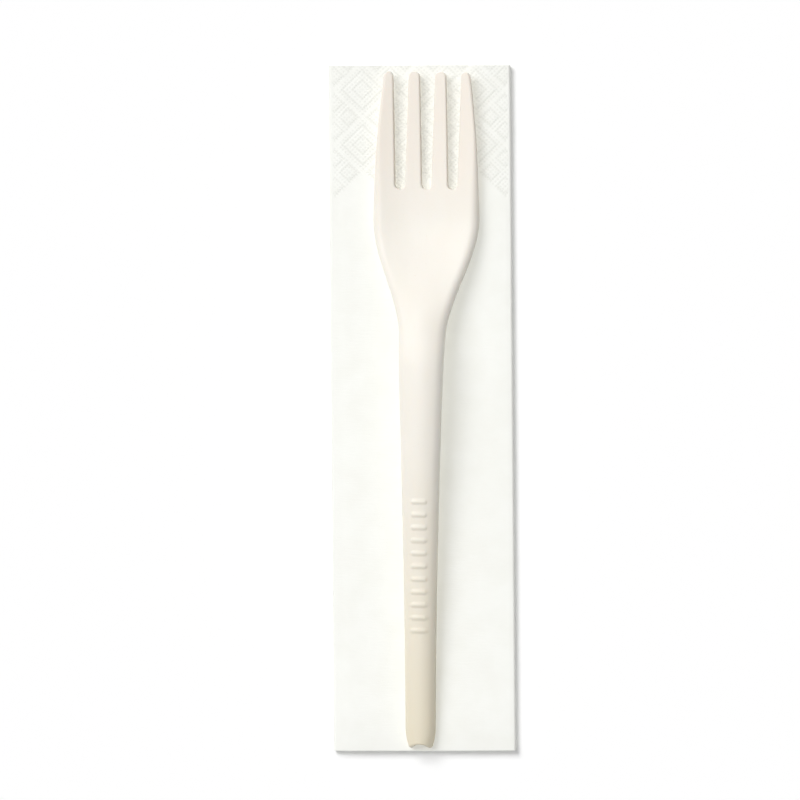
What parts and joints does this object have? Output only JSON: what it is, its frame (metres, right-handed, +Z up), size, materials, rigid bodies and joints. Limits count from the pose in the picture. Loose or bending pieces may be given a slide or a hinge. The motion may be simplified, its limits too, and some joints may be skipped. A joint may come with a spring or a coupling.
{
  "type": "disposable cutlery kit",
  "caption": "Moulded cream fork with a hollow-backed handle, lying on a long folded white paper napkin with an embossed diamond border.",
  "frame": {"origin": "on the surface that the napkin lies on, under the middle of its outline", "axes": "+Y along the napkin towards its open, embossed end and the fork's tips, +X towards its right-hand folds, +Z up"},
  "size_m": [0.0446, 0.165, 0.0115],
  "materials": {
    "white_tissue": "soft matte tissue paper with a fine crepe",
    "cream_plastic": "moulded plastic with a satin sheen"
  },
  "bodies": {
    "root": {"napkin": "white_tissue", "fork": "cream_plastic"}
  },
  "joints": []
}
